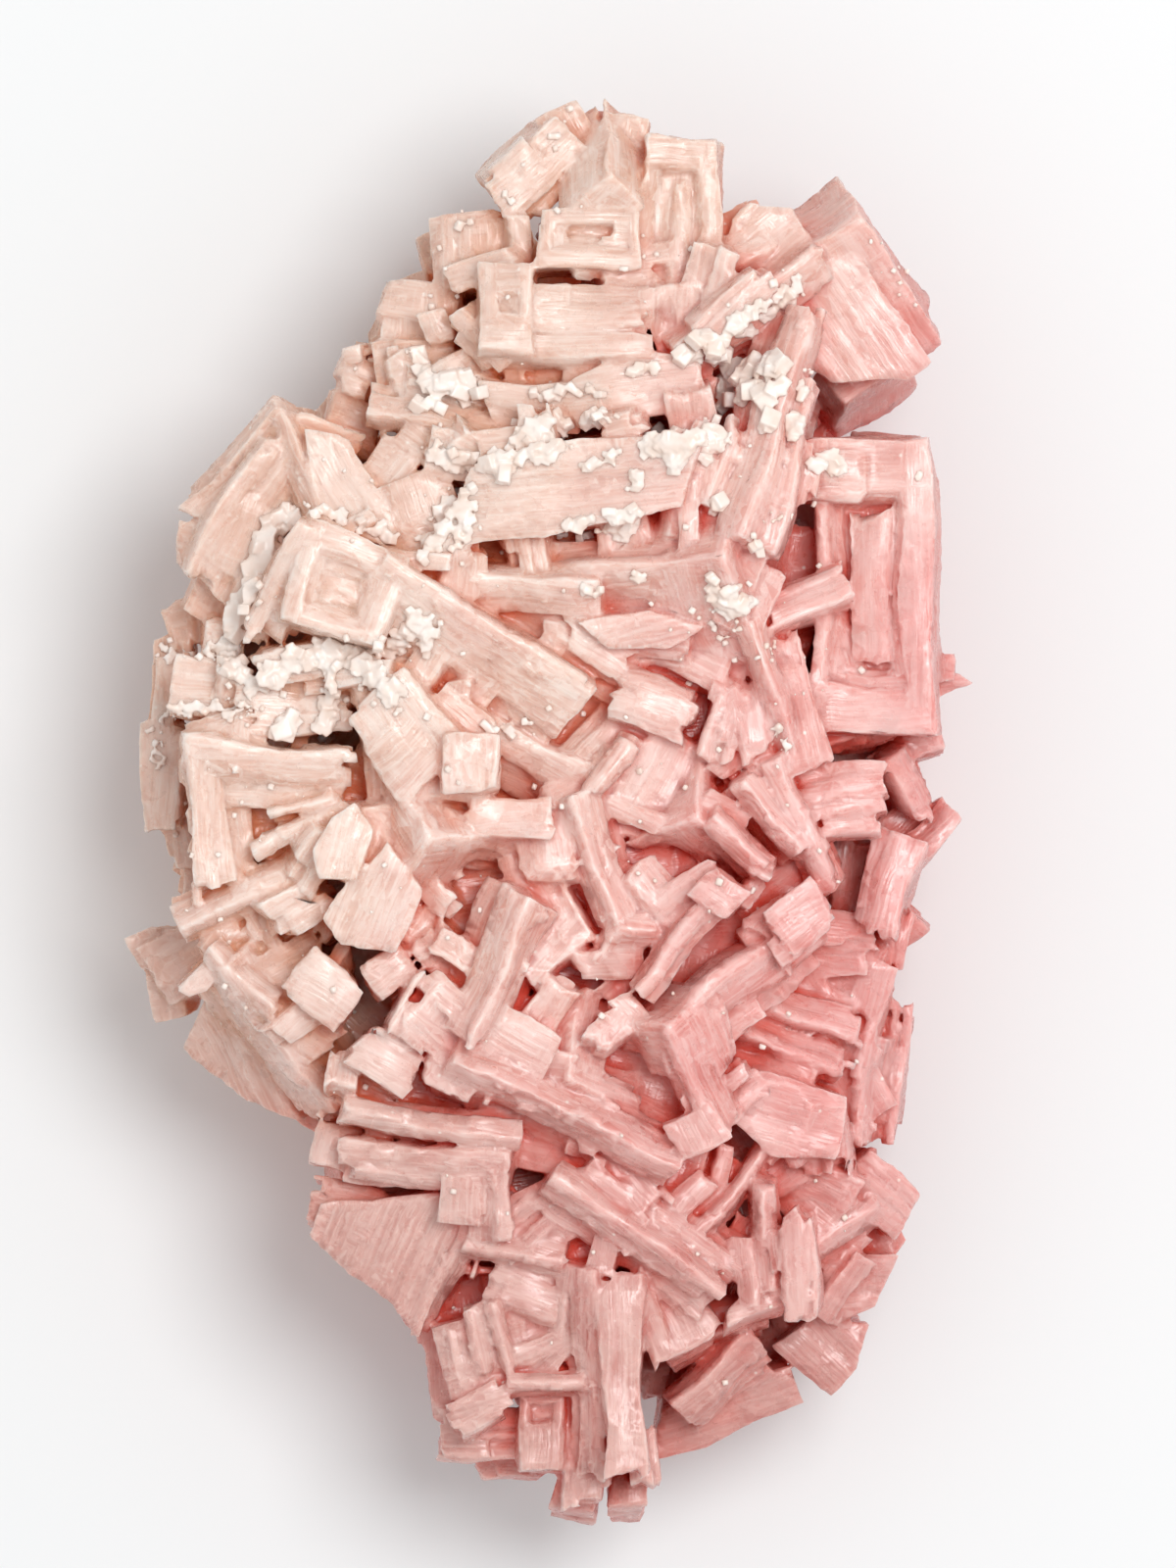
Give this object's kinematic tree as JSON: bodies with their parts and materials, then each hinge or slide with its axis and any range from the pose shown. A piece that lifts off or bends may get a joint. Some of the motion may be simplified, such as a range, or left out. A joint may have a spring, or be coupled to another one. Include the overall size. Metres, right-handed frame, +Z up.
{
  "type": "pink halite crystal cluster",
  "caption": "Palm-sized cluster of intergrown pink rock-salt cubes with stepped hopper faces and a dusting of white grains, cut flat to lie on a surface.",
  "frame": {"origin": "centre of the bounding box, on the flat cut that the cluster lies on", "axes": "+Y along the cluster's length towards its peach end, +X across it, +Z up out of the crystal side"},
  "size_m": [0.0864, 0.146, 0.0495],
  "materials": {
    "halite": "clear to milky pink salt, glassy faces with fine growth steps, peach towards +Y and rose towards -Y",
    "grains": "small frosty white salt cubes grown on the upper left of the cluster"
  },
  "bodies": {
    "root": {"halite_cluster": "halite"}
  },
  "joints": []
}
